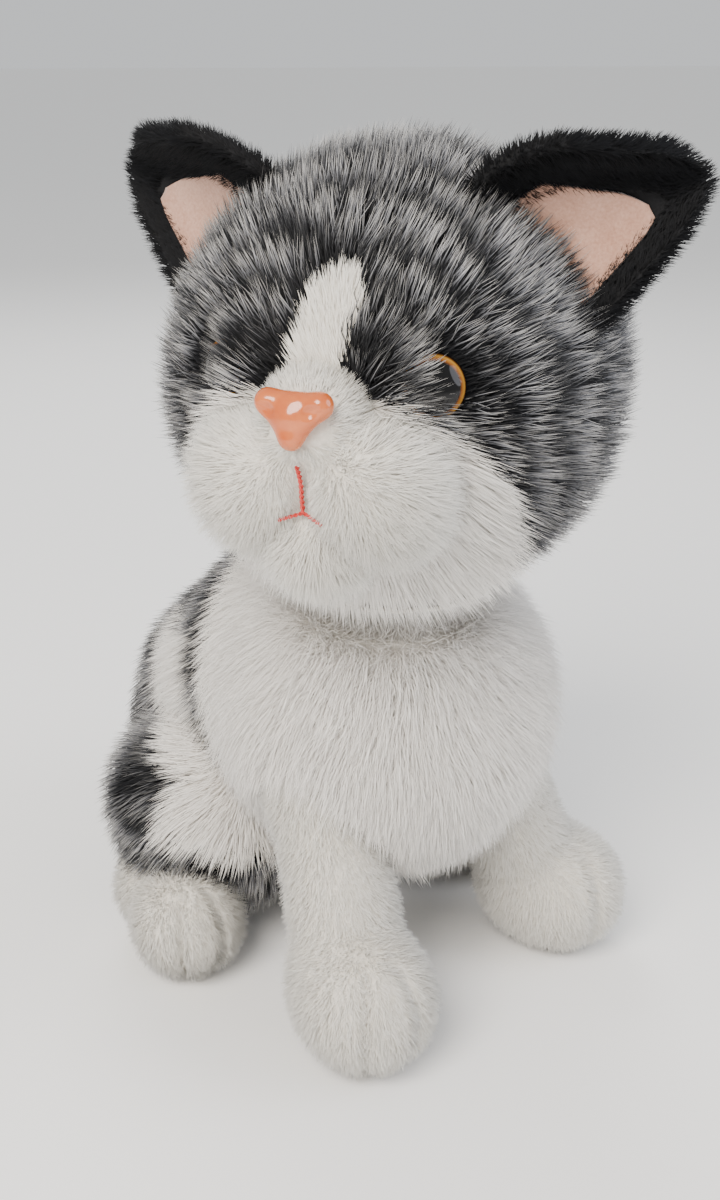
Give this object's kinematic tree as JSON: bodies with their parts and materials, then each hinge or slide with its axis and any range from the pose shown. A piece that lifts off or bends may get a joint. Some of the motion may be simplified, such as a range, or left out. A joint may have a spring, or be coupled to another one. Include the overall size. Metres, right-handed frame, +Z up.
{
  "type": "plush cat",
  "caption": "Seated stuffed toy cat in tabby and white pile with a turned head, plastic eyes and nose, and soft sewn limbs, ears and tail",
  "frame": {"origin": "centre of the flat seat under the rump, on the surface that the cat sits on", "axes": "+Z up, the body faces -Y, +X to the cat's left"},
  "size_m": [0.1616, 0.2373, 0.2478],
  "materials": {
    "tabby_long_pile": "long pile, black to navy at the root with frosted grey tips, in stripes",
    "white_long_pile": "long soft warm white pile",
    "white_short_pile": "short velvety white pile",
    "black_pile": "short dense black pile",
    "peach_velour": "brushed peach velour",
    "base_cloth": "short dark pile",
    "fibre_filling": "loose polyester fibre",
    "pellet_bag_cloth": "woven cotton",
    "stitch_thread": "twisted thread",
    "seam_thread": "twisted thread",
    "red_thread": "embroidery thread",
    "nose_plastic": "moulded peach plastic, glossy",
    "eye_plastic": "clear dome over an amber iris and black pupil",
    "washer_plastic": "moulded washer"
  },
  "bodies": {
    "torso": {"bib": "white_long_pile", "belly_panel": "white_long_pile", "back_panel_left": "tabby_long_pile", "back_panel_right": "tabby_long_pile", "flank_patch_left": "white_long_pile", "flank_patch_right": "white_long_pile", "base_panel": "base_cloth", "torso_stuffing": "fibre_filling", "pellet_bag": "pellet_bag_cloth", "closing_seam": "seam_thread", "haunch_left": "tabby_long_pile", "haunch_right": "tabby_long_pile", "haunch_stuffing_left": "fibre_filling", "haunch_stuffing_right": "fibre_filling"},
    "neck": {"neck_gusset": "white_long_pile"},
    "head": {"head_side_left": "tabby_long_pile", "head_side_right": "tabby_long_pile", "forehead_blaze": "white_short_pile", "cheek_left": "white_long_pile", "cheek_right": "white_long_pile", "muzzle": "white_short_pile", "muzzle_stuffing": "fibre_filling", "head_stuffing": "fibre_filling", "nose": "nose_plastic", "nose_washer": "washer_plastic", "mouth_stitch": "red_thread", "eye_left": "eye_plastic", "eye_right": "eye_plastic", "eye_washer_left": "washer_plastic", "eye_washer_right": "washer_plastic"},
    "ear_left": {"ear_back_left": "black_pile", "ear_lining_left": "peach_velour"},
    "ear_right": {"ear_back_right": "black_pile", "ear_lining_right": "peach_velour"},
    "front_leg_left": {"front_leg_left": "white_short_pile", "leg_stuffing_left": "fibre_filling", "paw_stitches_left": "stitch_thread"},
    "front_leg_right": {"front_leg_right": "white_short_pile", "leg_stuffing_right": "fibre_filling", "paw_stitches_right": "stitch_thread"},
    "hind_foot_left": {"hind_foot_left": "white_short_pile", "foot_stuffing_left": "fibre_filling", "foot_stitches_left": "stitch_thread"},
    "hind_foot_right": {"hind_foot_right": "white_short_pile", "foot_stuffing_right": "fibre_filling", "foot_stitches_right": "stitch_thread"},
    "tail": {"tail": "tabby_long_pile", "tail_stuffing": "fibre_filling"}
  },
  "joints": [
    {"name": "head_turn", "type": "hinge", "parent": "torso", "child": "neck", "pos_m": [-0.00247, -0.07615, 0.18677], "axis": [0, 0, 1], "range_deg": [-15, 25], "stiffness_Nm_per_rad": 0.6},
    {"name": "head_nod", "type": "hinge", "parent": "neck", "child": "head", "pos_m": [-0.00247, -0.07615, 0.18677], "axis": [0.6947, -0.7193, 0], "range_deg": [-8, 8], "stiffness_Nm_per_rad": 1},
    {"name": "ear_flex_left", "type": "hinge", "parent": "head", "child": "ear_left", "pos_m": [0.02298, -0.12071, 0.22162], "axis": [0.5933, -0.3964, -0.7006], "range_deg": [-15, 15], "stiffness_Nm_per_rad": 0.05},
    {"name": "ear_flex_right", "type": "hinge", "parent": "head", "child": "ear_right", "pos_m": [-0.04612, -0.04915, 0.22162], "axis": [0.3754, -0.6068, 0.7006], "range_deg": [-15, 15], "stiffness_Nm_per_rad": 0.05},
    {"name": "leg_lift_left", "type": "hinge", "parent": "torso", "child": "front_leg_left", "pos_m": [0.0281, -0.07369, 0.06727], "axis": [-1, 0, 0], "range_deg": [0, 25], "stiffness_Nm_per_rad": 1.5},
    {"name": "leg_lift_right", "type": "hinge", "parent": "torso", "child": "front_leg_right", "pos_m": [-0.02299, -0.07299, 0.06801], "axis": [-1, 0, 0], "range_deg": [0, 25], "stiffness_Nm_per_rad": 1.5},
    {"name": "foot_swing_left", "type": "hinge", "parent": "torso", "child": "hind_foot_left", "pos_m": [0.057, -0.004, 0.017], "axis": [0, 0, 1], "range_deg": [-10, 15], "stiffness_Nm_per_rad": 0.5},
    {"name": "foot_swing_right", "type": "hinge", "parent": "torso", "child": "hind_foot_right", "pos_m": [-0.057, -0.022, 0.017], "axis": [0, 0, -1], "range_deg": [-10, 15], "stiffness_Nm_per_rad": 0.5},
    {"name": "tail_sway", "type": "hinge", "parent": "torso", "child": "tail", "pos_m": [0, 0.04236, 0.0115], "axis": [0, 0, 1], "range_deg": [-15, 15], "stiffness_Nm_per_rad": 0.3}
  ]
}
